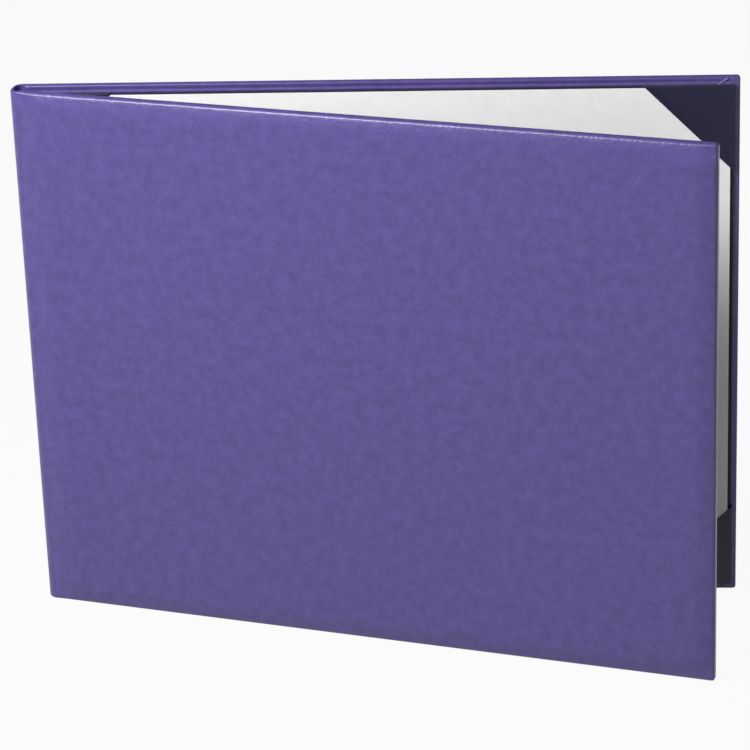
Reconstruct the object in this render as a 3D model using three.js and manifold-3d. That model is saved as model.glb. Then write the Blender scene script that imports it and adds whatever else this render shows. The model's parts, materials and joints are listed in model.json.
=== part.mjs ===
// Padded landscape diploma cover, standing slightly open on its bottom edges.
// Millimetres, +Z up. Two boards wrapped in leatherette are joined by a rounded spine. A black panel
// lines each board, and four black corner pockets on the back panel hold the certificate.

import * as THREE from "three";
import { mergeVertices } from "three/addons/utils/BufferGeometryUtils.js";
import Module from "manifold-3d";

const wasm = await Module();
wasm.setup();

// Certificate: a landscape sheet of 11 by 8.5 inches
const sheetWidth = 279.4;
const sheetHeight = 215.9;
const sheetThickness = 0.3;

// Black panels that line the covers
const panelThickness = 0.9;
const sideBorder = 1.4; // black border seen beside the certificate
const topBorder = 0.3; // black border above and below it
const foreMargin = 2.4; // leatherette seen between the panel and the fore-edge
const topMargin = 3.5; // leatherette seen above and below the panel
const hingeMargin = 3; // from the spine's outer face to the panel

// Corner pockets
const pocketLeg = 36;
const pocketThickness = 0.3;

// Leatherette, board and padding of one cover
const leatherThickness = 0.5;
const boardThickness = 1.5;
const foamThickness = 1.3;
const turnIn = 16; // leatherette folded over onto the inside
const cornerRadius = 1.2; // corners of the cover seen from the front
const outerEdgeRadius = 1.2;
const innerEdgeRadius = 0.7;
const crownRise = 1; // swell of the padding above the rounded edge
const crownWidth = 14;

// Spine
const spineRadius = 4; // rounded corner where the leatherette turns from cover to spine
const creaseWidth = 0.7; // strip of leatherette that bends at each hinge line
const hemDepth = 14; // leatherette folded inside at the head and tail of the spine
const liningThickness = 0.3;
const liningInset = 3; // lining kept back from head and tail
const liningTrim = 22; // degrees that the lining stops short of each hinge line

// Clearances
const layerGap = 0.25; // between layers that lie on each other
const boardInset = 0.9; // from the cover's outline to the edge of the board
const boardSetback = 0.6; // from the spine's rounding to board and padding
const closedGap = 0.3; // between the pockets and the front panel when shut

// Standing pose
const openingAngle = 15.3;

// Sizes that follow
const panelWidth = sheetWidth + 2 * sideBorder;
const panelHeight = sheetHeight + 2 * topBorder;
const coverWidth = hingeMargin + panelWidth + foreMargin;
const coverHeight = panelHeight + 2 * topMargin;
const coverThickness = 2 * leatherThickness + boardThickness + foamThickness + 3 * layerGap;
const lineStack = layerGap + panelThickness;
const pocketStack = 2 * layerGap + sheetThickness + pocketThickness;
const halfGap = (2 * lineStack + pocketStack + closedGap) / 2;

// Levels of one cover, counted outwards from the plane midway between the shut covers
const innerFace = halfGap;
const outerFace = innerFace + coverThickness;
const boardFoot = innerFace + leatherThickness + layerGap;
const foamFoot = boardFoot + boardThickness + layerGap;
const panelBack = innerFace - layerGap;
const panelFront = panelBack - panelThickness;
const sheetBack = panelFront - layerGap;
const sheetFront = sheetBack - sheetThickness;
const pocketFront = sheetFront - layerGap - pocketThickness;

// Rounded edges start below the crown
const edgeTop = outerFace - crownRise;
const edgeCentre = edgeTop - outerEdgeRadius;
const spineCentre = edgeTop - spineRadius;
const padLeft = spineRadius + boardSetback;

// Hinge lines: the middle of each rounded spine corner, at half the leatherette's thickness
const hingeRadius = spineRadius - leatherThickness / 2;
const hingeX = spineRadius - hingeRadius * Math.SQRT1_2;
const hingeY = spineCentre + hingeRadius * Math.SQRT1_2;

const arcSteps = 6;
const cornerSteps = 5;
const overshoot = 2; // how far cutting shapes pass the surface that they cut

// Materials
const leatherette = new THREE.MeshStandardMaterial({ color: 0x5f5295, roughness: 0.55, metalness: 0 });
const greyboard = new THREE.MeshStandardMaterial({ color: 0x8c8577, roughness: 0.95, metalness: 0 });
const foam = new THREE.MeshStandardMaterial({ color: 0xe9e4d6, roughness: 1, metalness: 0 });
const blackPaper = new THREE.MeshStandardMaterial({ color: 0x201f26, roughness: 0.8, metalness: 0 });
const blackRibbon = new THREE.MeshStandardMaterial({ color: 0x1b1a22, roughness: 0.7, metalness: 0 });
const whiteCard = new THREE.MeshStandardMaterial({ color: 0xf3f3f1, roughness: 0.9, metalness: 0 });

// Makes a closed geometry a solid that can be cut and joined.
function solid(geometry) {
  geometry.deleteAttribute("normal");
  geometry.deleteAttribute("uv");
  const merged = mergeVertices(geometry, 1e-4);
  return new wasm.Manifold(new wasm.Mesh({
    numProp: 3,
    vertProperties: Float32Array.from(merged.attributes.position.array),
    triVerts: Uint32Array.from(merged.index.array),
  }));
}

// Turns a solid back into geometry.
function geometryOf(body) {
  const mesh = body.getMesh();
  const geometry = new THREE.BufferGeometry();
  geometry.setAttribute("position", new THREE.BufferAttribute(mesh.vertProperties, 3));
  geometry.setIndex(new THREE.BufferAttribute(mesh.triVerts, 1));
  return geometry;
}

// Rounded rectangle in the XZ plane, anticlockwise seen from the front.
function roundedRing({ left, right, bottom, top, radius }) {
  const corners = [
    [right - radius, bottom + radius, -Math.PI / 2],
    [right - radius, top - radius, 0],
    [left + radius, top - radius, Math.PI / 2],
    [left + radius, bottom + radius, Math.PI],
  ];
  return corners.flatMap(([x, z, start]) => Array.from({ length: cornerSteps + 1 }, (_, i) => {
    const angle = start + (i / cornerSteps) * (Math.PI / 2);
    return [x + radius * Math.cos(angle), z + radius * Math.sin(angle)];
  }));
}

// Closed solid through rings that lie one above the other along Y.
function ringSolid(rings) {
  const count = rings[0].points.length;
  const positions = rings.flatMap(({ y, points }) => points.flatMap(([x, z]) => [x, y, z]));
  const indices = [];
  rings.slice(1).forEach((_, k) => {
    for (let i = 0; i < count; i += 1) {
      const next = (i + 1) % count;
      const [a, b] = [k * count + i, k * count + next];
      const [c, d] = [b + count, a + count];
      indices.push(a, d, c, a, c, b);
    }
  });
  const last = (rings.length - 1) * count;
  for (let i = 1; i < count - 1; i += 1) {
    indices.push(0, i, i + 1, last, last + i + 1, last + i);
  }
  const geometry = new THREE.BufferGeometry();
  geometry.setAttribute("position", new THREE.Float32BufferAttribute(positions, 3));
  geometry.setIndex(indices);
  return geometry;
}

// How far a quarter-round edge of this radius falls back at a distance past its centre.
function fallBack(radius, past) {
  return past > 0 ? radius - Math.sqrt(Math.max(radius * radius - past * past, 0)) : 0;
}

// Outline of the cover at one level, offset inwards by depth.
function coverRing(y, depth, left) {
  const inset = depth
    + fallBack(outerEdgeRadius - depth, y - edgeCentre)
    + fallBack(innerEdgeRadius - depth, innerFace + innerEdgeRadius - y);
  return {
    y,
    points: roundedRing({
      left: left ?? depth + fallBack(spineRadius - depth, y - spineCentre),
      right: coverWidth - inset,
      bottom: inset,
      top: coverHeight - inset,
      radius: Math.max(cornerRadius - inset, leatherThickness),
    }),
  };
}

// Top of the padding: the gentle crown that rises from the rounded edge.
function crownRing(depth) {
  const inset = outerEdgeRadius + crownWidth;
  return {
    y: outerFace - depth,
    points: roundedRing({
      left: spineRadius + crownWidth,
      right: coverWidth - inset,
      bottom: inset,
      top: coverHeight - inset,
      radius: cornerRadius,
    }),
  };
}

// Levels from foot to the top of the rounded edge, closer together where the edge turns.
function edgeLevels(foot, depth) {
  const start = Math.max(foot, spineCentre);
  const span = edgeTop - depth - start;
  return Array.from({ length: arcSteps + 1 }, (_, i) => (
    start + span * Math.sin((i / arcSteps) * (Math.PI / 2))
  ));
}

// Whole padded slab of a cover, offset inwards by depth.
function coverSlab(depth) {
  const foot = innerFace + depth;
  const roll = innerEdgeRadius - depth;
  const rollLevels = [0, 0.13, 0.5].map((share) => foot + share * roll);
  const levels = [...rollLevels, ...edgeLevels(foot + roll, depth)];
  return ringSolid([...levels.map((y) => coverRing(y, depth)), crownRing(depth)]);
}

// Box between two corners.
function block([x0, y0, z0], [x1, y1, z1]) {
  const geometry = new THREE.BoxGeometry(x1 - x0, y1 - y0, z1 - z0);
  return geometry.translate((x0 + x1) / 2, (y0 + y1) / 2, (z0 + z1) / 2);
}

// Flat plate of an outline in the XZ plane, between two levels.
function plate(points, low, high) {
  const shape = new THREE.Shape(points.map(([x, z]) => new THREE.Vector2(x, z)));
  const geometry = new THREE.ExtrudeGeometry(shape, { depth: high - low, bevelEnabled: false });
  return geometry.rotateX(Math.PI / 2).translate(0, high, 0);
}

// Leatherette of a cover: wrapped round three edges, turned in inside, and ending at the hinge line.
function coverSkin() {
  const slab = solid(coverSlab(0));
  const hollow = solid(coverSlab(leatherThickness));
  const window = solid(block(
    [-overshoot, innerFace - overshoot, turnIn],
    [coverWidth - turnIn, innerFace + leatherThickness + layerGap, coverHeight - turnIn],
  ));
  const reach = 4 * spineRadius;
  const hingeCut = solid(new THREE.BoxGeometry(reach, reach, coverHeight + 2 * overshoot)
    .translate(-reach / 2 + creaseWidth / 2, 0, 0)
    .rotateZ(Math.PI / 4)
    .translate(spineRadius, spineCentre, coverHeight / 2));
  return geometryOf(slab.subtract(hollow).subtract(window).subtract(hingeCut));
}

// Stiff board inside a cover.
function coverBoard() {
  const outline = {
    left: padLeft,
    right: coverWidth - boardInset,
    bottom: boardInset,
    top: coverHeight - boardInset,
    radius: Math.max(cornerRadius - boardInset, leatherThickness / 2),
  };
  const points = roundedRing(outline);
  return ringSolid([{ y: boardFoot, points }, { y: boardFoot + boardThickness, points }]);
}

// Padding between board and leatherette, rounded off with the edge.
function coverFoam() {
  const depth = leatherThickness + layerGap;
  const levels = edgeLevels(foamFoot, depth);
  return ringSolid([...levels.map((y) => coverRing(y, depth, padLeft)), crownRing(depth)]);
}

// Corners of the panel: place, and the signs of the way inwards.
const panelRight = hingeMargin + panelWidth;
const panelTop = topMargin + panelHeight;
const panelCorners = {
  bottom_spine: { x: hingeMargin, z: topMargin, toX: 1, toZ: 1 },
  bottom_fore: { x: panelRight, z: topMargin, toX: -1, toZ: 1 },
  top_spine: { x: hingeMargin, z: panelTop, toX: 1, toZ: -1 },
  top_fore: { x: panelRight, z: panelTop, toX: -1, toZ: -1 },
};

// Right-angled triangle at a panel corner, its own corner moved outwards.
function cornerTriangle({ x, z, toX, toZ }, outwards, leg) {
  const [cornerX, cornerZ] = [x - toX * outwards, z - toZ * outwards];
  return [
    [cornerX, cornerZ],
    [cornerX + toX * leg, cornerZ],
    [cornerX, cornerZ + toZ * leg],
  ];
}

// Black panel; where pockets wrap it, its back is cut away for them.
function linerPanel(corners) {
  const outline = [
    [hingeMargin, topMargin],
    [panelRight, topMargin],
    [panelRight, panelTop],
    [hingeMargin, panelTop],
  ];
  const rebateLeg = pocketLeg + layerGap * Math.SQRT2 + 2 * overshoot;
  const rebateOutwards = layerGap + pocketThickness + overshoot;
  const rebateFloor = panelBack - pocketThickness - layerGap;
  let panel = solid(plate(outline, panelFront, panelBack));
  corners.forEach((corner) => {
    const outlineOfRebate = cornerTriangle(corner, rebateOutwards, rebateLeg);
    panel = panel.subtract(solid(plate(outlineOfRebate, rebateFloor, panelBack + overshoot)));
  });
  return geometryOf(panel);
}

// Certificate, centred on the panel.
function certificateSheet() {
  const [left, bottom] = [hingeMargin + sideBorder, topMargin + topBorder];
  return block([left, sheetFront, bottom], [left + sheetWidth, sheetBack, bottom + sheetHeight]);
}

// Corner pocket: ribbon in front of the sheet and behind the panel, closed along both edges.
function cornerPocket(corner) {
  const outwards = layerGap + pocketThickness;
  const envelope = solid(plate(cornerTriangle(corner, outwards, pocketLeg), pocketFront, panelBack));
  const inside = solid(plate(
    cornerTriangle(corner, layerGap, 2 * pocketLeg),
    pocketFront + pocketThickness,
    panelBack - pocketThickness,
  ));
  return geometryOf(envelope.subtract(inside));
}

// Upright strip that follows the spine, between two depths below its outer face. Ends stop short
// of the hinge lines by trim, in radians.
function spineStrip(outerDepth, innerDepth, trim, foot, head) {
  const start = (3 * Math.PI) / 4 + trim;
  const end = (5 * Math.PI) / 4 - trim;
  const shape = new THREE.Shape();
  shape.absarc(spineRadius, spineCentre, spineRadius - outerDepth, start, Math.PI, false);
  shape.absarc(spineRadius, -spineCentre, spineRadius - outerDepth, Math.PI, end, false);
  shape.absarc(spineRadius, -spineCentre, spineRadius - innerDepth, end, Math.PI, true);
  shape.absarc(spineRadius, spineCentre, spineRadius - innerDepth, Math.PI, start, true);
  shape.closePath();
  const options = { depth: head - foot, bevelEnabled: false, curveSegments: arcSteps / 2 };
  return new THREE.ExtrudeGeometry(shape, options).translate(0, 0, foot);
}

// Leatherette of the spine, hemmed at head and tail by folding it inside.
const hemFloor = 2 * leatherThickness + layerGap;
function spineSkin() {
  const trim = creaseWidth / 2 / hingeRadius;
  const wide = trim / 2;
  const stack = solid(spineStrip(0, hemFloor, trim, 0, coverHeight));
  const fold = solid(spineStrip(
    leatherThickness,
    leatherThickness + layerGap,
    -wide,
    leatherThickness,
    coverHeight - leatherThickness,
  ));
  const middle = solid(spineStrip(
    leatherThickness,
    hemFloor + layerGap,
    -wide,
    hemDepth,
    coverHeight - hemDepth,
  ));
  return geometryOf(stack.subtract(fold).subtract(middle));
}

// Black lining inside the spine.
function spineLining() {
  const depth = hemFloor + layerGap;
  return spineStrip(
    depth,
    depth + liningThickness,
    THREE.MathUtils.degToRad(liningTrim),
    liningInset,
    coverHeight - liningInset,
  );
}

function named(name, geometry, material) {
  const mesh = new THREE.Mesh(geometry, material);
  mesh.name = name;
  return mesh;
}

// Group turned about an upright line, holding what is modelled in the shut position.
function turned([x, y], degrees, ...contents) {
  const inner = new THREE.Group();
  inner.position.set(-x, -y, 0);
  inner.add(...contents);
  const outer = new THREE.Group();
  outer.position.set(x, y, 0);
  outer.rotation.z = THREE.MathUtils.degToRad(degrees);
  outer.add(inner);
  return outer;
}

// The four layers that both covers have.
function coverLayers(side, corners) {
  return [
    named(`${side}_leatherette`, coverSkin(), leatherette),
    named(`${side}_board`, coverBoard(), greyboard),
    named(`${side}_foam`, coverFoam(), foam),
    named(`${side}_panel`, linerPanel(corners), blackPaper),
  ];
}

const backCover = new THREE.Group();
backCover.add(...coverLayers("back", Object.values(panelCorners)));
backCover.add(named("certificate", certificateSheet(), whiteCard));
Object.entries(panelCorners).forEach(([place, corner]) => {
  backCover.add(named(`pocket_${place}`, cornerPocket(corner), blackRibbon));
});

// The front cover is the back cover's twin, turned half round about a level line.
const frontCover = new THREE.Group();
frontCover.add(...coverLayers("front", []));
frontCover.rotation.x = Math.PI;
frontCover.position.z = coverHeight;

const halfAngle = openingAngle / 2;
const frontHinge = turned([hingeX, -hingeY], -halfAngle, frontCover);
const backHinge = turned(
  [hingeX, hingeY],
  -halfAngle,
  named("spine_leatherette", spineSkin(), leatherette),
  named("spine_lining", spineLining(), blackPaper),
  frontHinge,
);

const diplomaCover = new THREE.Group();
diplomaCover.add(backCover, backHinge);

// Origin: the middle of the footprint, on the surface that the cover stands on
diplomaCover.updateMatrixWorld(true);
const extent = new THREE.Box3().setFromObject(diplomaCover, true);
const middle = extent.getCenter(new THREE.Vector3());
diplomaCover.position.set(-middle.x, -middle.y, -extent.min.z);

export default diplomaCover;
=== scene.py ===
"""Dresses a padded diploma cover that stands slightly open.

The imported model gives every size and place. The leatherette is modelled as the sheet it is, wrapped
round board and padding and bent over the rounded corners of the spine. Lengths are in metres.
"""

import json
import logging
import math
from contextlib import contextmanager
from dataclasses import dataclass
from enum import Enum
from typing import Any, Callable, Iterator, Sequence

import bmesh
import bpy
from mathutils import Matrix, Vector, noise

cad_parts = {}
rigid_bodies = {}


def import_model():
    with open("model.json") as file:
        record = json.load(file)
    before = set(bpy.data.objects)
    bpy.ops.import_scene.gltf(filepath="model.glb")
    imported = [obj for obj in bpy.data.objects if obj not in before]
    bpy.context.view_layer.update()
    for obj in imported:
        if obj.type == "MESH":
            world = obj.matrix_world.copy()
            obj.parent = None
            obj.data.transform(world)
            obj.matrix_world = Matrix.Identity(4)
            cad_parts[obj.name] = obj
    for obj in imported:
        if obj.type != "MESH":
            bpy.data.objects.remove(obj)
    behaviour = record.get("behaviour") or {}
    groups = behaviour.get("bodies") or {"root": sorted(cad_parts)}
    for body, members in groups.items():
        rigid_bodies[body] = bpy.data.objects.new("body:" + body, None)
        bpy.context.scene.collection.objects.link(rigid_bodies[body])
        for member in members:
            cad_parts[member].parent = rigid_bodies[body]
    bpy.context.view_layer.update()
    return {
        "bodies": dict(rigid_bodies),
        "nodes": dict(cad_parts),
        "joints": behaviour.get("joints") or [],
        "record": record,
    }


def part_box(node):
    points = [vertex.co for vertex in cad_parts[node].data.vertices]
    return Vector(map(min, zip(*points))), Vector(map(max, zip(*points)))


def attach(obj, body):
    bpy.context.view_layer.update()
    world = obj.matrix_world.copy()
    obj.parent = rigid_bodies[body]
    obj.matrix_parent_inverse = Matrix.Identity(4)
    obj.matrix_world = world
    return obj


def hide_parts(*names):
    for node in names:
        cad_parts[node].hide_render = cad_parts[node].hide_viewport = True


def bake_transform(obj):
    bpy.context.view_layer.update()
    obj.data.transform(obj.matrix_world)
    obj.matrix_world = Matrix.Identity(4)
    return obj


LOG = logging.getLogger("diploma_cover")
MM = 0.001
X, Y, Z = range(3)
TOUCH = 0.01 * MM
SHEET_PLACE = "sheet_place"


def linear(hex_colour: str) -> tuple[float, float, float, float]:
    """Turns an sRGB hex colour to linear light.

    Args:
        hex_colour: six hex digits after a #.

    Returns:
        Red, green, blue and an alpha of 1.
    """
    parts = [int(hex_colour[i : i + 2], 16) / 255 for i in (1, 3, 5)]
    light = [p / 12.92 if p <= 0.04045 else ((p + 0.055) / 1.055) ** 2.4 for p in parts]
    return light[0], light[1], light[2], 1.0


def ease(value: float, low: float, high: float) -> float:
    """Gives 0 below low and 1 above high, with a smooth rise between.

    Args:
        value: the place to ask for.
        low: where the rise starts.
        high: where it ends.

    Returns:
        A share from 0 to 1.
    """
    share = min(max((value - low) / (high - low), 0.0), 1.0)
    return share * share * (3 - 2 * share)


def mix(start: float, end: float, share: float) -> float:
    """Gives a value between two others.

    Args:
        start: the value at a share of 0.
        end: the value at a share of 1.
        share: how far to go from start to end.

    Returns:
        The value.
    """
    return start + (end - start) * share


def turn(pivot: Vector, angle: float) -> Matrix:
    """Gives a turn about an upright line.

    Args:
        pivot: a point on the line.
        angle: radians, counter-clockwise from above.

    Returns:
        The matrix.
    """
    return Matrix.Translation(pivot) @ Matrix.Rotation(angle, 4, "Z") @ Matrix.Translation(-pivot)


class Element(Enum):
    """Kinds of mesh element that a selection can hold."""

    EDGES = "EDGE"
    FACES = "FACE"


def deselect() -> None:
    """Clears the selection, so that operators act only on what is added next."""
    bpy.ops.object.select_all(action="DESELECT")


def activate(obj: bpy.types.Object) -> None:
    """Makes one object the only selected and the active one.

    Args:
        obj: the object.
    """
    deselect()
    bpy.context.view_layer.objects.active = obj
    obj.select_set(True)


@contextmanager
def edit_mode(obj: bpy.types.Object) -> Iterator[None]:
    """Opens edit mode on one object alone, and leaves it at the end.

    Args:
        obj: the object to edit.

    Yields:
        Nothing.
    """
    activate(obj)
    bpy.ops.object.mode_set(mode="EDIT")
    try:
        yield
    finally:
        bpy.ops.object.mode_set(mode="OBJECT")


def add_block(name: str, low: Sequence[float], high: Sequence[float]) -> bpy.types.Object:
    """Adds a cube between two corners, with its place in its mesh.

    Args:
        name: the piece's name.
        low: lowest corner.
        high: highest corner.

    Returns:
        The new object, at the origin and unscaled.
    """
    deselect()
    low, high = Vector(low), Vector(high)
    bpy.ops.mesh.primitive_cube_add(size=1, location=(low + high) / 2)
    block = bpy.context.object
    block.name = block.data.name = name
    block.scale = high - low
    bpy.ops.object.transform_apply(location=True, rotation=True, scale=True)
    return block


def copy_of_node(name: str, source: bpy.types.Object) -> bpy.types.Object:
    """Copies a CAD node to a mesh of its own, with its loose triangles joined to flat faces.

    Args:
        name: the copy's name.
        source: the CAD node.

    Returns:
        The copy.
    """
    piece = bpy.data.objects.new(name, source.data.copy())
    piece.data.name = name
    piece.data.materials.clear()
    bpy.context.scene.collection.objects.link(piece)
    with edit_mode(piece):
        bpy.ops.mesh.select_all(action="SELECT")
        bpy.ops.mesh.remove_doubles(threshold=TOUCH)
        bpy.ops.mesh.dissolve_limited(angle_limit=math.radians(1))
    return piece


def pick(obj: bpy.types.Object, kind: Element, test: Callable[[Any], bool]) -> None:
    """Selects the elements that pass a test, in edit mode, and nothing else.

    Args:
        obj: the object in edit mode.
        kind: which elements to test.
        test: takes a bmesh element, and says whether it is selected.
    """
    bpy.ops.mesh.select_mode(type=kind.value)
    bpy.ops.mesh.select_all(action="DESELECT")
    mesh = bmesh.from_edit_mesh(obj.data)
    for element in mesh.edges if kind is Element.EDGES else mesh.faces:
        element.select_set(test(element))
    bmesh.update_edit_mesh(obj.data)


def all_at(element: Any, axis: int, value: float) -> bool:
    """Says whether an edge or face lies flat at one coordinate.

    Args:
        element: the bmesh edge or face.
        axis: X, Y or Z.
        value: the coordinate.

    Returns:
        Whether every vertex has that coordinate.
    """
    return all(abs(vertex.co[axis] - value) < TOUCH for vertex in element.verts)


def runs_along(edge: Any, axis: int) -> bool:
    """Says whether an edge is parallel to an axis.

    Args:
        edge: the bmesh edge.
        axis: X, Y or Z.

    Returns:
        Whether it is.
    """
    way = edge.verts[1].co - edge.verts[0].co
    return abs(way[axis]) > way.length - TOUCH


def bisect_at(axis: int, places: Sequence[float]) -> None:
    """Cuts a loop round the whole mesh at each place along an axis.

    Args:
        axis: X, Y or Z.
        places: coordinates of the cuts.
    """
    normal = Vector((0, 0, 0))
    normal[axis] = 1
    for place in places:
        bpy.ops.mesh.select_all(action="SELECT")
        bpy.ops.mesh.bisect(plane_co=normal * place, plane_no=normal)


def apply_modifier(obj: bpy.types.Object, kind: str, **settings: Any) -> None:
    """Adds a modifier, sets it up and applies it.

    Args:
        obj: the object.
        kind: Blender's name of the modifier type.
        settings: the modifier's own attributes.
    """
    activate(obj)
    modifier = obj.modifiers.new(kind.title(), kind)
    for name, value in settings.items():
        setattr(modifier, name, value)
    bpy.ops.object.modifier_apply(modifier=modifier.name)


def smooth(obj: bpy.types.Object, degrees: float) -> None:
    """Shades an object smooth, apart from edges sharper than an angle.

    Args:
        obj: the object.
        degrees: the sharpest angle that is still shaded smooth.
    """
    activate(obj)
    bpy.ops.object.shade_smooth_by_angle(angle=math.radians(degrees))


def node(tree: bpy.types.NodeTree, kind: str, inputs: dict | None = None, **settings: Any) -> Any:
    """Adds a shader node with its settings and links.

    Args:
        tree: the material's node tree.
        kind: the node's type after "ShaderNode".
        inputs: value or linked output for each input, by name or number.
        settings: attributes of the node; stops is a colour ramp's list of place and colour.

    Returns:
        The node.
    """
    made = tree.nodes.new("ShaderNode" + kind)
    stops = settings.pop("stops", ())
    for index, (place, colour) in enumerate(stops):
        ramp = made.color_ramp.elements
        stop = ramp[index] if index < len(ramp) else ramp.new(place)
        stop.position, stop.color = place, colour
    for name, value in settings.items():
        setattr(made, name, value)
    for name, value in (inputs or {}).items():
        if isinstance(value, bpy.types.NodeSocket):
            tree.links.new(value, made.inputs[name])
        else:
            made.inputs[name].default_value = value
    return made


def new_material(name: str) -> tuple[bpy.types.Material, bpy.types.NodeTree]:
    """Makes an empty node material.

    Args:
        name: its name.

    Returns:
        The material and its node tree.
    """
    material = bpy.data.materials.new(name)
    material.use_nodes = True
    material.node_tree.nodes.clear()
    return material, material.node_tree


def ramp_between(
    tree: bpy.types.NodeTree, share: Any, stops: Sequence[tuple[float, str]]
) -> bpy.types.NodeSocket:
    """Adds a colour ramp.

    Args:
        tree: the material's node tree.
        share: output that gives the place on the ramp.
        stops: each stop's place and sRGB hex colour.

    Returns:
        The ramp's colour output.
    """
    linear_stops = [(place, linear(colour)) for place, colour in stops]
    return node(tree, "ValToRGB", {"Fac": share}, stops=linear_stops).outputs[0]


def object_place(tree: bpy.types.NodeTree) -> bpy.types.NodeSocket:
    """Adds an output that gives each point's place in its piece's own coordinates.

    Args:
        tree: the material's node tree.

    Returns:
        The output.
    """
    return node(tree, "TexCoord").outputs["Object"]


def finish_surface(tree: bpy.types.NodeTree, height: Any, depth: float, **inputs: Any) -> None:
    """Adds the bump, the principled shader and the output of a material.

    Args:
        tree: the material's node tree.
        height: output that gives the relief from 0 to 1.
        depth: how deep that relief is, in metres.
        inputs: the shader's inputs, with _ for a space.
    """
    bump = node(tree, "Bump", {"Height": height, "Distance": depth, "Strength": 1.0})
    named = {name.replace("_", " "): value for name, value in inputs.items()}
    shader = node(tree, "BsdfPrincipled", {"Normal": bump.outputs[0], **named})
    node(tree, "OutputMaterial", {"Surface": shader.outputs[0]})


@dataclass(frozen=True)
class EmbossedLeatherette:
    """PVC-coated bookbinding cloth, calendered between a smooth and a finely embossed roll."""

    slot: str = "leatherette"
    deep: str = "#483d77"
    body: str = "#4f4380"
    pale: str = "#564889"
    patch: float = 5 * MM
    grain: float = 1.3 * MM
    emboss: float = 0.1 * MM
    dull: float = 0.4
    glossy: float = 0.3

    def make(self) -> bpy.types.Material:
        """Makes the material.

        Returns:
            The material; its patterns follow the uncut sheet.
        """
        material, tree = new_material("embossed_violet_leatherette")
        place = node(tree, "Attribute", attribute_name=SHEET_PLACE).outputs["Vector"]
        patches = node(
            tree, "TexNoise", {"Vector": place, "Scale": 1 / self.patch, "Detail": 6.0, "Roughness": 0.8}
        ).outputs[0]
        colour = ramp_between(tree, patches, [(0.38, self.deep), (0.5, self.body), (0.62, self.pale)])
        pebble = node(tree, "TexVoronoi", {"Vector": place, "Scale": 1 / self.grain}, feature="SMOOTH_F1")
        relief = node(tree, "Math", {0: pebble.outputs["Distance"], 1: patches}, operation="ADD")
        limits = {"From Min": 0.3, "From Max": 0.7, "To Min": self.dull, "To Max": self.glossy}
        gloss = node(tree, "MapRange", {"Value": patches, **limits})
        finish_surface(
            tree, relief.outputs[0], self.emboss, Base_Color=colour, Roughness=gloss.outputs[0], IOR=1.5
        )
        return material


@dataclass(frozen=True)
class BlackEndPaper:
    """Black uncoated paper glued over board: matt, with faint pale fibres."""

    slot: str = "black_paper"
    dark: str = "#0f0e12"
    pale: str = "#18171d"
    fibre: float = 0.5 * MM
    tooth: float = 0.03 * MM

    def make(self) -> bpy.types.Material:
        """Makes the material.

        Returns:
            The material.
        """
        material, tree = new_material("black_end_paper")
        place = object_place(tree)
        fibres = node(
            tree, "TexNoise", {"Vector": place, "Scale": 1 / self.fibre, "Detail": 5.0, "Distortion": 1.2}
        ).outputs[0]
        colour = ramp_between(tree, fibres, [(0.35, self.dark), (0.75, self.pale)])
        finish_surface(tree, fibres, self.tooth, Base_Color=colour, Roughness=0.78, IOR=1.45)
        return material


@dataclass(frozen=True)
class BlackRibbon:
    """Black grosgrain ribbon: fine cross ribs that catch a soft light."""

    slot: str = "black_ribbon"
    dark: str = "#0a0820"
    pale: str = "#15113c"
    rib: float = 0.7 * MM
    depth: float = 0.06 * MM
    slant: float = math.radians(45)

    def make(self) -> bpy.types.Material:
        """Makes the material; the ribs are drawn coarser than the real 0.4 mm, so that they show.

        Returns:
            The material.
        """
        material, tree = new_material("black_grosgrain_ribbon")
        turned = node(tree, "Mapping", {"Vector": object_place(tree), "Rotation": (0, self.slant, 0)})
        weave = {"Scale": 1 / (math.pi * self.rib), "Distortion": 0.4, "Detail": 2.0}
        ribs = node(
            tree, "TexWave", {"Vector": turned.outputs[0], **weave}, bands_direction="X"
        ).outputs["Fac"]
        colour = ramp_between(tree, ribs, [(0.1, self.dark), (0.9, self.pale)])
        sheen = {"Sheen_Weight": 0.15, "Sheen_Roughness": 0.4}
        finish_surface(tree, ribs, self.depth, Base_Color=colour, Roughness=0.6, IOR=1.5, **sheen)
        return material


@dataclass(frozen=True)
class CertificateStock:
    """Heavy white uncoated card, with a faint cloudy formation."""

    slot: str = "white_card"
    dark: str = "#eeeeee"
    pale: str = "#f5f5f4"
    cloud: float = 6 * MM
    tooth: float = 0.01 * MM

    def make(self) -> bpy.types.Material:
        """Makes the material.

        Returns:
            The material.
        """
        material, tree = new_material("white_certificate_card")
        place = object_place(tree)
        cloud = node(
            tree, "TexNoise", {"Vector": place, "Scale": 1 / self.cloud, "Detail": 6.0, "Roughness": 0.7}
        ).outputs[0]
        colour = ramp_between(tree, cloud, [(0.3, self.dark), (0.7, self.pale)])
        finish_surface(tree, cloud, self.tooth, Base_Color=colour, Roughness=0.7, IOR=1.45)
        return material


@dataclass(frozen=True)
class GreyBoard:
    """Recycled bookbinder's greyboard, rolled, with darker flecks."""

    slot: str = "greyboard"
    dark: str = "#77716a"
    pale: str = "#9a948a"
    fleck: float = 1.2 * MM
    tooth: float = 0.05 * MM

    def make(self) -> bpy.types.Material:
        """Makes the material.

        Returns:
            The material.
        """
        material, tree = new_material("rolled_greyboard")
        place = object_place(tree)
        flecks = node(
            tree, "TexNoise", {"Vector": place, "Scale": 1 / self.fleck, "Detail": 8.0, "Roughness": 0.75}
        ).outputs[0]
        colour = ramp_between(tree, flecks, [(0.35, self.dark), (0.6, self.pale)])
        finish_surface(tree, flecks, self.tooth, Base_Color=colour, Roughness=0.9, IOR=1.45)
        return material


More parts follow.
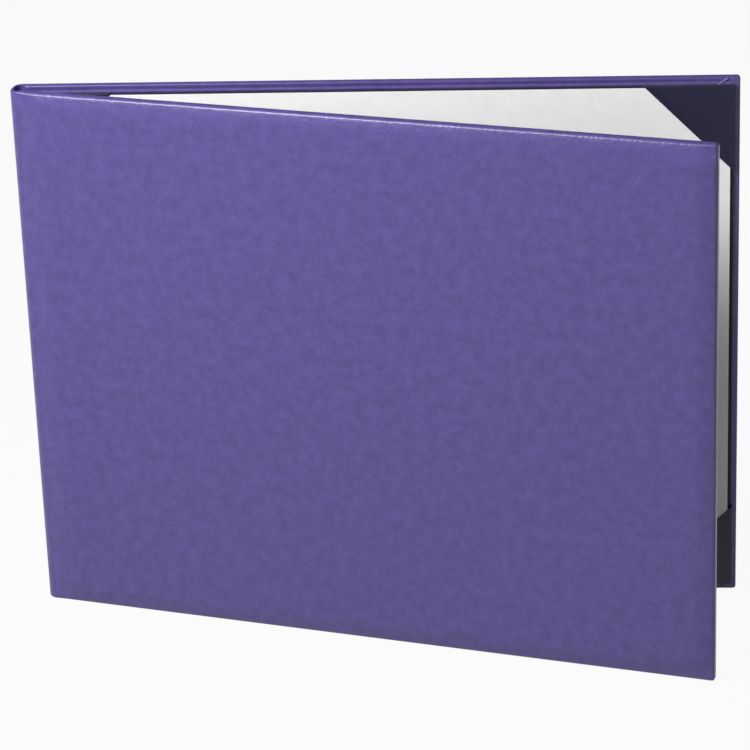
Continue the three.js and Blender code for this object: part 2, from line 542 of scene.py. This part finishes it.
@dataclass(frozen=True)
class PaddingFoam:
    """Open-cell polyurethane foam, skived from a block, so that its cells show as fine pits."""

    slot: str = "foam"
    dark: str = "#cfc8b4"
    pale: str = "#ece6d6"
    cell: float = 0.8 * MM
    pit: float = 0.25 * MM

    def make(self) -> bpy.types.Material:
        """Makes the material.

        Returns:
            The material.
        """
        material, tree = new_material("skived_polyurethane_foam")
        place = object_place(tree)
        cells = node(tree, "TexVoronoi", {"Vector": place, "Scale": 1 / self.cell}).outputs["Distance"]
        colour = ramp_between(tree, cells, [(0.1, self.dark), (0.6, self.pale)])
        finish_surface(tree, cells, self.pit, Base_Color=colour, Roughness=0.95, IOR=1.5)
        return material


class Palette:
    """Holds one material for each slot and dresses pieces with them."""

    def __init__(self) -> None:
        """Makes every material once."""
        finishes = (
            EmbossedLeatherette(),
            BlackEndPaper(),
            BlackRibbon(),
            CertificateStock(),
            GreyBoard(),
            PaddingFoam(),
        )
        self.materials = {finish.slot: finish.make() for finish in finishes}

    def dress(self, piece: bpy.types.Object, slot: str) -> None:
        """Gives a new piece the material of a slot.

        Args:
            piece: the new piece.
            slot: the record's slot.
        """
        piece.data.materials.clear()
        piece.data.materials.append(self.materials[slot])

    def repaint(self, cad_node: bpy.types.Object, slot: str) -> None:
        """Gives a CAD node's own material slots a material.

        Args:
            cad_node: a node that stays in view.
            slot: the record's slot.
        """
        for holder in cad_node.material_slots:
            holder.material = self.materials[slot]


class Side(Enum):
    """The two covers."""

    BACK = "back"
    FRONT = "front"

    @property
    def body(self) -> str:
        """Name of the moving body."""
        return f"{self.value}_cover"


@dataclass(frozen=True)
class Stance:
    """How the shut cover's own axes lie in the frame, and how far each hinge stands open.

    The own axes start on the spine's outer plane, midway between the covers, at the foot. X runs to
    the fore-edge, Y towards the back cover's outer face and Z up.
    """

    origin: Vector
    hinge: Vector
    opening: float
    height: float
    fore_edge: float
    inner: float
    outer: float

    @classmethod
    def read(cls, frame: dict) -> "Stance":
        """Works the stance out from the joints and the back cover's box.


        Returns:
            The stance.
        """
        joints = {joint["name"]: joint for joint in frame["joints"]}
        back, front = (Vector(joints[name]["pos_m"]) for name in ("back_hinge", "front_hinge"))
        opening = -math.radians(joints["back_hinge"]["range_deg"][0])
        shut = turn(back, opening)
        spine = frame["nodes"]["spine_leatherette"].data.vertices
        left = min((shut @ vertex.co).x for vertex in spine)
        origin = Vector((left, back.y - (back - front).length / 2, 0))
        low, high = (Vector(corner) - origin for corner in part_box("back_leatherette"))
        return cls(origin, back - origin, opening, high.z, high.x, low.y, high.y)

    def place(self, side: Side) -> Matrix:
        """Gives the matrix from a cover's own axes to the frame.

        Args:
            side: which cover.

        Returns:
            The matrix; the front cover is the back cover turned over and opened.
        """
        shift = Matrix.Translation(self.origin)
        if side is Side.BACK:
            return shift
        across = Vector((self.hinge.x, -self.hinge.y, 0))
        over = Matrix.Translation((0, 0, self.height)) @ Matrix.Diagonal((1, -1, -1, 1))
        return shift @ turn(self.hinge, -self.opening) @ turn(across, -self.opening) @ over


@dataclass
class Wrap:
    """The leatherette of one cover with half of the spine, wrapped over padding and board.

    It is modelled unrolled: X runs along the outer face from the spine's centre line, Y is minus the
    depth below that face and Z is up. Then it is bent round the spine's corner.
    """

    stance: Stance
    side: Side
    skin: float = 0.5 * MM
    rim_drop: float = 1.0 * MM
    corner_radius: float = 1.2 * MM
    outer_radius: float = 1.0 * MM
    inner_radius: float = 0.7 * MM
    turn_in: float = 16 * MM
    smooth_angle: float = 50
    spine_radius: float = 4 * MM
    spine_rim: float = 0.7 * MM
    spine_depth: float = 1.3 * MM
    rim_fade: tuple[float, float] = (-2 * MM, 4 * MM)
    wall_fade: tuple[float, float] = (-1.2 * MM, 0.7 * MM)
    crown: float = 1.8 * MM
    crown_run: float = 8 * MM
    fore_run: float = 8 * MM
    hinge_run: float = 10 * MM
    crown_power: float = 1.5
    crown_step: float = 0.9 * MM
    crown_cuts: int = 12
    spine_step: float = 0.7 * MM
    spine_cuts: int = 26
    grid: float = 10 * MM
    wave: float = 0.1 * MM
    wave_length: float = 45 * MM
    bead: float = 0.22 * MM
    bead_at: float = 2.95 * MM
    bead_half: float = 0.6 * MM
    bead_end: float = 4.1 * MM
    bead_cuts: tuple[float, ...] = (-3, -2.5, -2, -1.5, -1, -0.5, 0, 0.5, 1)
    groove: float = 0.1 * MM
    crease: float = 0.45 * MM
    crease_half: float = 0.35 * MM
    crease_outer: tuple[float, float] = (5 * MM, 0.9 * MM)
    crease_inner: tuple[float, float] = (8.8 * MM, 3.3 * MM)

    def __post_init__(self) -> None:
        """Works out the bend round the spine's corner."""
        stance = self.stance
        self.face = stance.outer - self.rim_drop
        self.depth = self.face - stance.inner
        self.flat = self.face - self.spine_radius
        foot = turn(stance.hinge, -stance.opening) @ Vector((0, self.flat, 0))
        reach = (self.face - foot.y) / math.cos(stance.opening)
        self.bend = math.pi / 2 - stance.opening
        self.radius = reach / math.tan(self.bend / 2)
        self.centre = Vector((self.spine_radius, self.face - self.radius, 0))
        self.bent = self.flat + self.radius * self.bend
        self.length = self.bent + stance.fore_edge - self.spine_radius

    def on_face(self, along: float) -> tuple[Vector, Vector]:
        """Finds a point of the outer face.

        Args:
            along: distance along the face from the spine's centre line.

        Returns:
            The point and the outward normal, in the cover's own axes.
        """
        if along > self.bent:
            return self.centre + Vector((along - self.bent, self.radius, 0)), Vector((0, 1, 0))
        if along > self.flat:
            angle = math.pi / 2 + (self.bent - along) / self.radius
            normal = Vector((math.cos(angle), math.sin(angle), 0))
            return self.centre + normal * self.radius, normal
        opened = turn(self.stance.hinge, -self.stance.opening)
        return opened @ Vector((0, along, 0)), opened.to_3x3() @ Vector((-1, 0, 0))

    def bulge(self, along: float, edge: float) -> float:
        """Gives the padding's rise above the edges.

        Args:
            along: distance along the face from the spine's centre line.
            edge: distance from the nearer of the top and bottom edges.

        Returns:
            The rise, which is nothing at the edges and at the spine.
        """
        share = 1.0
        for distance, run in (
            (edge, self.crown_run),
            (self.length - along, self.fore_run),
            (along - self.bent, self.hinge_run),
        ):
            share *= 1 - (1 - min(max(distance / run, 0.0), 1.0)) ** self.crown_power
        sway = noise.noise(Vector((along, edge, 0)) / self.wave_length)
        return share * (self.crown + self.wave * sway)

    def relief(self, fore: float, edge: float) -> float:
        """Gives what stands up from the turned-in margin: its bead, and the lap at each corner.

        A shallow groove runs along the bead's outer side.

        Args:
            fore: distance from the fore-edge.
            edge: distance from the nearer of the top and bottom edges.

        Returns:
            The height above the margin.
        """
        off = min(abs(edge - self.bead_at) / self.bead_half, 1.0)
        bead = self.bead * math.cos(off * math.pi / 2)
        off = min(abs(edge - self.bead_at + 2 * self.bead_half) / self.bead_half, 1.0)
        bead -= self.groove * math.cos(off * math.pi / 2)
        bead *= ease(fore, self.bead_end - 1 * MM, self.bead_end)
        start, end = Vector(self.crease_outer), Vector(self.crease_inner)
        place, run = Vector((fore, edge)) - start, end - start
        share = min(max(place.dot(run) / run.length_squared, 0.0), 1.0)
        away = min((place - run * share).length / self.crease_half, 1.0)
        lap = self.crease * math.cos(away * math.pi / 2)
        return bead if lap < TOUCH else max(bead, lap)

    def build(self) -> bpy.types.Object:
        """Builds the skin.

        Returns:
            The skin, in place.
        """
        top, back = self.stance.height, -self.depth
        skin = add_block(f"{self.side.value}_cover_skin", (0, back, 0), (self.length, 0, top))
        with edit_mode(skin):
            pick(skin, Element.EDGES, lambda e: all_at(e, X, self.length) and runs_along(e, Y))
            bpy.ops.mesh.bevel(offset=self.corner_radius, segments=6, affect="EDGES")
            for face, radius, steps in ((0, self.outer_radius, 7), (back, self.inner_radius, 3)):
                pick(skin, Element.EDGES, lambda e: all_at(e, Y, face) and not all_at(e, X, 0))
                bpy.ops.mesh.bevel(offset=radius, segments=steps, affect="EDGES")
            pick(skin, Element.FACES, lambda f: all_at(f, X, 0))
            bpy.ops.mesh.delete(type="FACE")
            self._cut(skin)
        self._bend(skin)
        apply_modifier(skin, "SOLIDIFY", thickness=self.skin, offset=-1)
        smooth(skin, self.smooth_angle)
        return skin

    def _cut(self, skin: bpy.types.Object) -> None:
        """Cuts the slab finely near its edges and its bend, and opens the window inside the margins.

        Args:
            skin: the slab, in edit mode.
        """
        top, inner = self.stance.height, -self.depth
        crown = [self.outer_radius + self.crown_step * (k + 1) for k in range(self.crown_cuts)]
        from_edge = crown + [self.turn_in]
        clear = 3
        middle = [self.grid * k for k in range(clear, int(self.length / self.grid) + 1 - clear)]
        spine = [self.spine_step * (k + 1) for k in range(self.spine_cuts)]
        bisect_at(X, spine + middle + [self.length - place for place in from_edge])
        rows = [place for place in middle if place < top - clear * self.grid]
        bisect_at(Z, from_edge + rows + [top - place for place in from_edge])

        def in_window(face: Any) -> bool:
            """Says whether an inner face lies inside the turned-in margins."""
            place = face.calc_center_median()
            edge = min(place.z, top - place.z)
            return all_at(face, Y, inner) and edge > self.turn_in and self.length - place.x > self.turn_in

        def near_crease(face: Any) -> bool:
            """Says whether an inner face lies beside the lap of a corner."""
            place = face.calc_center_median()
            fore, edge = self.length - place.x, min(place.z, top - place.z)
            reach = 2 * self.crease_half
            beside = self.crease_outer[0] - reach < fore < self.crease_inner[0] + reach
            return all_at(face, Y, inner) and beside and edge < self.crease_inner[1] + reach

        pick(skin, Element.FACES, in_window)
        bpy.ops.mesh.delete(type="FACE")
        for share in self.bead_cuts:
            line = self.bead_at + share * self.bead_half
            for place in (line, top - line):
                pick(skin, Element.FACES, lambda f: all_at(f, Y, inner))
                bpy.ops.mesh.bisect(plane_co=(0, 0, place), plane_no=(0, 0, 1))
        pick(skin, Element.FACES, near_crease)
        bpy.ops.mesh.subdivide(number_cuts=4)

    def _bend(self, skin: bpy.types.Object) -> None:
        """Gives the slab its padding and bends it round the spine, into its place.

        Args:
            skin: the slab.
        """
        layer = skin.data.attributes.new(SHEET_PLACE, "FLOAT_VECTOR", "POINT")
        top, rim = self.stance.height, self.outer_radius
        place = self.stance.place(self.side)
        on_back = self.side is Side.BACK
        for vertex, kept in zip(skin.data.vertices, layer.data):
            along, depth, up = vertex.co.x, -vertex.co.y, vertex.co.z
            kept.vector = (along, -depth, up) if on_back else (-along, -depth, top - up)
            edge = min(up, top - up)
            thin = mix(self.spine_rim / rim, 1, ease(along - self.bent, *self.rim_fade))
            walled = ease(along - self.bent, *self.wall_fade)
            full = mix(self.spine_depth, self.depth, walled)
            raised = self.bulge(along, edge) * max(0.0, 1 - depth / rim)
            if depth > self.depth - TOUCH:
                raised -= self.relief(self.length - along, edge) * walled
            if depth > rim:
                depth = thin * rim + (depth - rim) * (full - thin * rim) / (self.depth - rim)
            else:
                depth *= thin
            if edge < rim:
                up += (1 - thin) * (edge if up > top / 2 else -edge)
            point, normal = self.on_face(along)
            vertex.co = place @ (point + normal * (raised - depth) + Vector((0, 0, up)))

    def join_to_spine(self, skin: bpy.types.Object) -> None:
        """Bakes the skin's transform into its mesh.

        Args:
            skin: the finished skin.
        """
        place = self.stance.place(self.side)
        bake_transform(skin)


@dataclass
class Cover:
    """One cover: its skin, padding, board and lining panel."""

    stance: Stance
    side: Side
    nodes: dict
    palette: Palette
    pad_gap: float = 0.15 * MM
    pad_edge: float = 1.2 * MM
    pad_grid: float = 10 * MM
    smooth_angle: float = 40
    panel_edge: float = 0.3 * MM

    def build(self) -> None:
        """Builds and dresses every piece of the cover."""
        wrap = Wrap(self.stance, self.side)
        skin = wrap.build()
        self.palette.dress(skin, "leatherette")
        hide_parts(f"{self.side.value}_leatherette")
        if self.side is Side.BACK:
            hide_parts("spine_leatherette")
        wrap.join_to_spine(skin)
        LOG.info("%s: %d faces", skin.name, len(skin.data.polygons))
        self._build_padding(wrap)
        self._build_panel()
        self.palette.repaint(self.nodes[f"{self.side.value}_board"], "greyboard")

    def _build_padding(self, wrap: Wrap) -> None:
        """Builds the foam that crowns the cover, just under its skin.

        Args:
            wrap: the cover's leatherette.
        """
        low, high = (Vector(corner) - self.stance.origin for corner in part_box("back_foam"))
        pad = add_block(f"{self.side.value}_padding", low, high)
        with edit_mode(pad):
            bpy.ops.mesh.select_all(action="SELECT")
            bpy.ops.mesh.bevel(offset=self.pad_edge, segments=3, affect="EDGES")
            for axis in (X, Z):
                bisect_at(axis, [self.pad_grid * k for k in range(1, int(high[axis] / self.pad_grid))])
        for vertex in pad.data.vertices:
            along = vertex.co.x - wrap.spine_radius + wrap.bent
            edge = min(vertex.co.z, self.stance.height - vertex.co.z)
            ceiling = wrap.face - wrap.skin - self.pad_gap + wrap.bulge(along, edge)
            share = (vertex.co.y - low.y) / (high.y - low.y)
            vertex.co.y += share * (ceiling - high.y)
        pad.data.transform(self.stance.place(self.side))
        smooth(pad, self.smooth_angle)
        self.palette.dress(pad, "foam")
        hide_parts(f"{self.side.value}_foam")
        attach(pad, self.side.body)
        LOG.info("%s: %d faces", pad.name, len(pad.data.polygons))

    def _build_panel(self) -> None:
        """Builds the lining panel, with its paper drawn softly over its front edges."""
        place = self.stance.place(self.side)
        panel = copy_of_node(f"{self.side.value}_lining_panel", self.nodes[f"{self.side.value}_panel"])
        panel.data.transform(place.inverted())
        front = min(vertex.co.y for vertex in panel.data.vertices)
        with edit_mode(panel):
            pick(panel, Element.EDGES, lambda e: all_at(e, Y, front))
            bpy.ops.mesh.bevel(offset=self.panel_edge, segments=4, affect="EDGES")
        panel.data.transform(place)
        smooth(panel, self.smooth_angle)
        self.palette.dress(panel, "black_paper")
        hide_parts(f"{self.side.value}_panel")
        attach(panel, self.side.body)
        LOG.info("%s: %d faces", panel.name, len(panel.data.polygons))


@dataclass
class Holder:
    """The certificate and the four ribbon pockets that hold its corners."""

    palette: Palette
    bow: float = 0.4 * MM
    bow_at_ends: float = 0.3
    grid: float = 18 * MM
    smooth_card: float = 40
    smooth_ribbon: float = 35
    ribbon: float = 0.4 * MM
    fold: float = 0.35 * MM
    hem: float = 3 * MM
    hem_rise: float = 0.12 * MM

    def build(self) -> None:
        """Builds the certificate and the pockets."""
        self._build_certificate()
        for level in ("bottom", "top"):
            for end in ("spine", "fore"):
                self._build_pocket(level, end)

    def _build_certificate(self) -> None:
        """Builds the card, a little proud in the middle where nothing holds it."""
        low, high = (Vector(corner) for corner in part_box("certificate"))
        card = add_block("blank_certificate", low, high)
        middle, half = (low + high) / 2, (high - low) / 2
        with edit_mode(card):
            for axis in (X, Z):
                count = int(2 * half[axis] / self.grid)
                bisect_at(axis, [low[axis] + 2 * half[axis] * k / count for k in range(1, count)])
        for vertex in card.data.vertices:
            off = vertex.co - middle
            share = (1 - (off.x / half.x) ** 2) * (1 - (1 - self.bow_at_ends) * (off.z / half.z) ** 2)
            vertex.co.y -= self.bow * share
        smooth(card, self.smooth_card)
        self.palette.dress(card, "white_card")
        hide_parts("certificate")
        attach(card, Side.BACK.body)
        LOG.info("%s: %d faces", card.name, len(card.data.polygons))

    def _build_pocket(self, level: str, end: str) -> None:
        """Builds one pocket: ribbon folded over the panel's corner, with a hemmed mouth.

        Args:
            level: bottom or top.
            end: spine or fore.
        """
        name = f"pocket_{level}_{end}"
        low, high = (Vector(corner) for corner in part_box(name))
        inward = Vector((1 if end == "spine" else -1, 0, 1 if level == "bottom" else -1))
        corner_x = low.x if end == "spine" else high.x
        corner_z = low.z if level == "bottom" else high.z
        pocket = add_block(f"ribbon_{name}", low, high)
        across = inward.normalized()
        mouth = (low + high) / 2
        hem_line = mouth - across * self.hem

        def on_fold(edge: Any) -> bool:
            """Says whether an edge lies where the ribbon folds over the panel's edges."""
            return len(edge.link_faces) == 2 and (all_at(edge, X, corner_x) or all_at(edge, Z, corner_z))

        def in_hem(face: Any) -> bool:
            """Says whether a face is on the front, beside the mouth."""
            return all_at(face, Y, low.y) and (face.calc_center_median() - hem_line).dot(across) > 0

        with edit_mode(pocket):
            bpy.ops.mesh.select_all(action="SELECT")
            bpy.ops.mesh.bisect(plane_co=mouth, plane_no=across, clear_outer=True)
            pick(pocket, Element.EDGES, on_fold)
            bpy.ops.mesh.bevel(offset=self.fold, segments=4, affect="EDGES")
            bpy.ops.mesh.select_all(action="SELECT")
            bpy.ops.mesh.bisect(plane_co=hem_line, plane_no=across)
        apply_modifier(pocket, "SOLIDIFY", thickness=self.ribbon, offset=-1)
        with edit_mode(pocket):
            pick(pocket, Element.FACES, in_hem)
            bpy.ops.mesh.extrude_region_shrink_fatten(TRANSFORM_OT_shrink_fatten={"value": self.hem_rise})
        smooth(pocket, self.smooth_ribbon)
        self.palette.dress(pocket, "black_ribbon")
        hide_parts(name)
        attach(pocket, Side.BACK.body)
        LOG.info("%s: %d faces", pocket.name, len(pocket.data.polygons))


@dataclass(frozen=True)
class Softbox:
    """A square lamp that faces the object. Its place and side are in metres, its power in watts."""

    name: str
    place: tuple[float, float, float]
    side: float
    power: float

    def build(self, aim: Vector) -> None:
        """Adds the lamp.

        Args:
            aim: the point that it faces.
        """
        lamp = bpy.data.lights.new(self.name, "AREA")
        lamp.shape, lamp.energy = "RECTANGLE", self.power
        lamp.size = lamp.size_y = self.side
        holder = bpy.data.objects.new(self.name, lamp)
        holder.location = self.place
        holder.rotation_euler = (aim - Vector(self.place)).to_track_quat("-Z", "Y").to_euler()
        bpy.context.scene.collection.objects.link(holder)


@dataclass(frozen=True)
class Studio:
    """Floor, lights and camera."""

    camera_place: tuple[float, float, float] = (91.259 * MM, -1199.653 * MM, 616.771 * MM)
    camera_tilt: tuple[float, float, float] = (67.312, 1.928, 3.572)
    lens: float = 157.797
    sensor: float = 36.0
    lamps: tuple[Softbox, ...] = (
        Softbox("softbox_left", place=(-0.45, -0.42, 0.76), side=0.3, power=11.3),
        Softbox("softbox_front", place=(0.3, -1.5, 0.5), side=0.8, power=2.5),
    )
    aim: tuple[float, float, float] = (0, 0, 0.1)
    floor_size: float = 12.0
    floor_paper: str = "#a4a4a4"
    shadow_share: float = 0.06
    room_light: float = 0.16

    def build(self) -> None:
        """Sets the whole scene."""
        self._add_camera()
        self._add_floor()
        self._add_world()
        for lamp in self.lamps:
            lamp.build(Vector(self.aim))
        bpy.context.scene.view_settings.view_transform = "Standard"

    def _add_camera(self) -> None:
        """Adds the camera at the photograph's viewing angle."""
        camera = bpy.data.cameras.new("camera")
        camera.lens, camera.sensor_width = self.lens, self.sensor
        camera.clip_start, camera.clip_end = 0.01, 50
        holder = bpy.data.objects.new("camera", camera)
        holder.location = self.camera_place
        holder.rotation_euler = [math.radians(angle) for angle in self.camera_tilt]
        bpy.context.scene.collection.objects.link(holder)
        bpy.context.scene.camera = holder

    def _white_to_lens(self, tree: bpy.types.NodeTree) -> Any:
        """Adds an output that is 1 where a ray shows the floor itself, straight or in a gloss.

        Args:
            tree: the floor material's node tree.

        Returns:
            The output.
        """
        path = node(tree, "LightPath").outputs
        straight = {0: path["Is Camera Ray"], 1: path["Is Glossy Ray"]}
        seen = node(tree, "Math", straight, operation="MAXIMUM").outputs[0]
        through = {0: seen, 1: path["Is Transmission Ray"]}
        return node(tree, "Math", through, operation="MAXIMUM").outputs[0]

    def _add_floor(self) -> None:
        """Adds a white floor that keeps a share of the object's shadow."""
        deselect()
        bpy.ops.mesh.primitive_plane_add(size=self.floor_size, location=(0, 0, 0))
        floor = bpy.context.object
        floor.name = "floor"
        material, tree = new_material("white_studio_paper")
        matt = node(tree, "BsdfDiffuse", {"Color": linear(self.floor_paper)})
        white = node(tree, "Emission", {"Color": linear("#ffffff"), "Strength": 1.0})
        share = node(
            tree, "Math", {0: self._white_to_lens(tree), 1: 1 - self.shadow_share}, operation="MULTIPLY"
        )
        both = node(tree, "MixShader", {0: share.outputs[0], 1: matt.outputs[0], 2: white.outputs[0]})
        node(tree, "OutputMaterial", {"Surface": both.outputs[0]})
        floor.data.materials.append(material)

    def _add_world(self) -> None:
        """Adds a soft even light all round, white where it is seen."""
        world = bpy.data.worlds.new("studio")
        bpy.context.scene.world = world
        world.use_nodes = True
        tree = world.node_tree
        tree.nodes.clear()
        dim = node(tree, "Background", {"Color": linear("#f2f2f6"), "Strength": self.room_light})
        white = node(tree, "Background", {"Color": linear("#ffffff"), "Strength": 1.0})
        seen = node(tree, "LightPath").outputs["Is Camera Ray"]
        both = node(tree, "MixShader", {0: seen, 1: dim.outputs[0], 2: white.outputs[0]})
        node(tree, "OutputWorld", {"Surface": both.outputs[0]})


def main() -> None:
    """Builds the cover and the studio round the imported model."""
    logging.basicConfig(level=logging.INFO, format="%(name)s: %(message)s")
    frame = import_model()
    palette = Palette()
    stance = Stance.read(frame)
    for side in Side:
        Cover(stance, side, frame["nodes"], palette).build()
    Holder(palette).build()
    palette.repaint(frame["nodes"]["spine_lining"], "black_paper")
    Studio().build()


if __name__ == "__main__":
    main()
